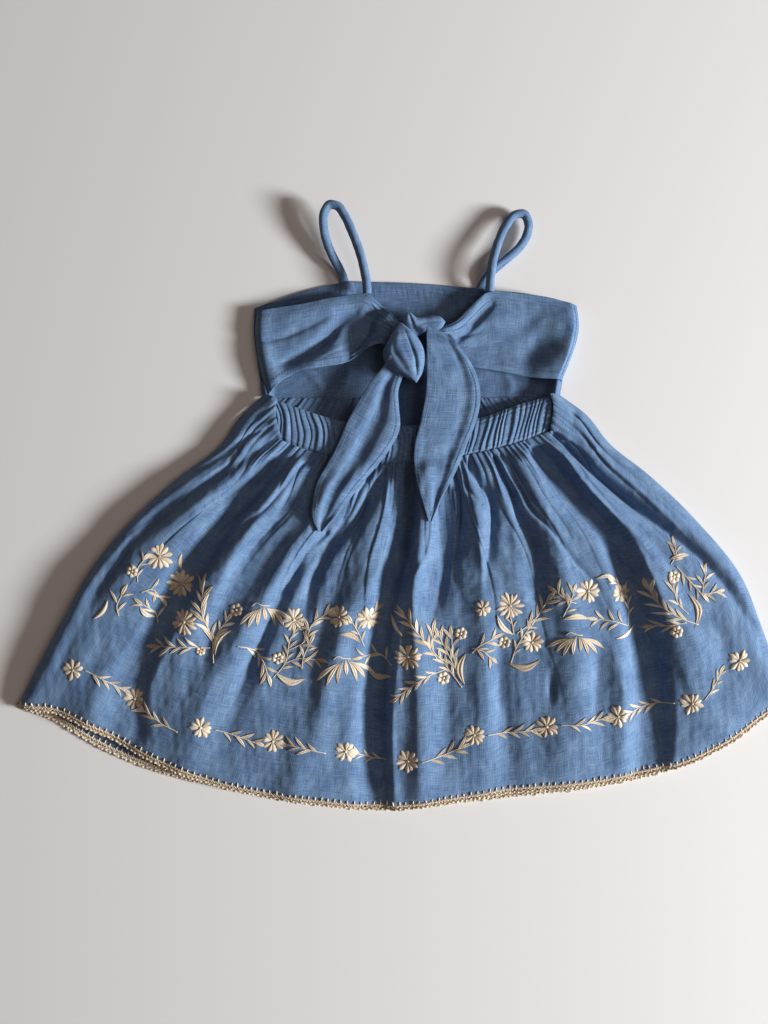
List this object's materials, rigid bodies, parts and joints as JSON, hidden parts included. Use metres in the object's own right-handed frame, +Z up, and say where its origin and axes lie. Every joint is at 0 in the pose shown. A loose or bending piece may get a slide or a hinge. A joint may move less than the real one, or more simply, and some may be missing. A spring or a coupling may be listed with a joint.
{
  "type": "toddler's tie-back sundress laid flat",
  "caption": "Strappy linen sundress lying on its front, with a tied open back, a gathered waistband and a flared skirt edged in crochet.",
  "frame": {"origin": "on the surface that the dress lies on, under the middle of its whole outline", "axes": "+X across the dress to the right as the back is seen, +Y from the hem to the straps, +Z up from the surface"},
  "size_m": [0.596, 0.4642, 0.0266],
  "materials": {
    "linen": "blue slubbed plain-weave linen, softly creased",
    "linen_inside": "the same blue linen, inner side and shaded layers",
    "thread": "cream embroidery and crochet cotton, low sheen"
  },
  "bodies": {
    "root": {"front_bodice": "linen_inside", "back_panel_left": "linen", "back_panel_right": "linen", "tie_knot": "linen", "tie_loop": "linen", "tie_tail_left": "linen", "tie_tail_right": "linen", "waistband_back": "linen", "skirt_front": "linen_inside", "skirt_back": "linen", "hem_edging_front": "thread", "hem_edging_back": "thread", "strap_left": "linen", "strap_right": "linen"}
  },
  "joints": []
}
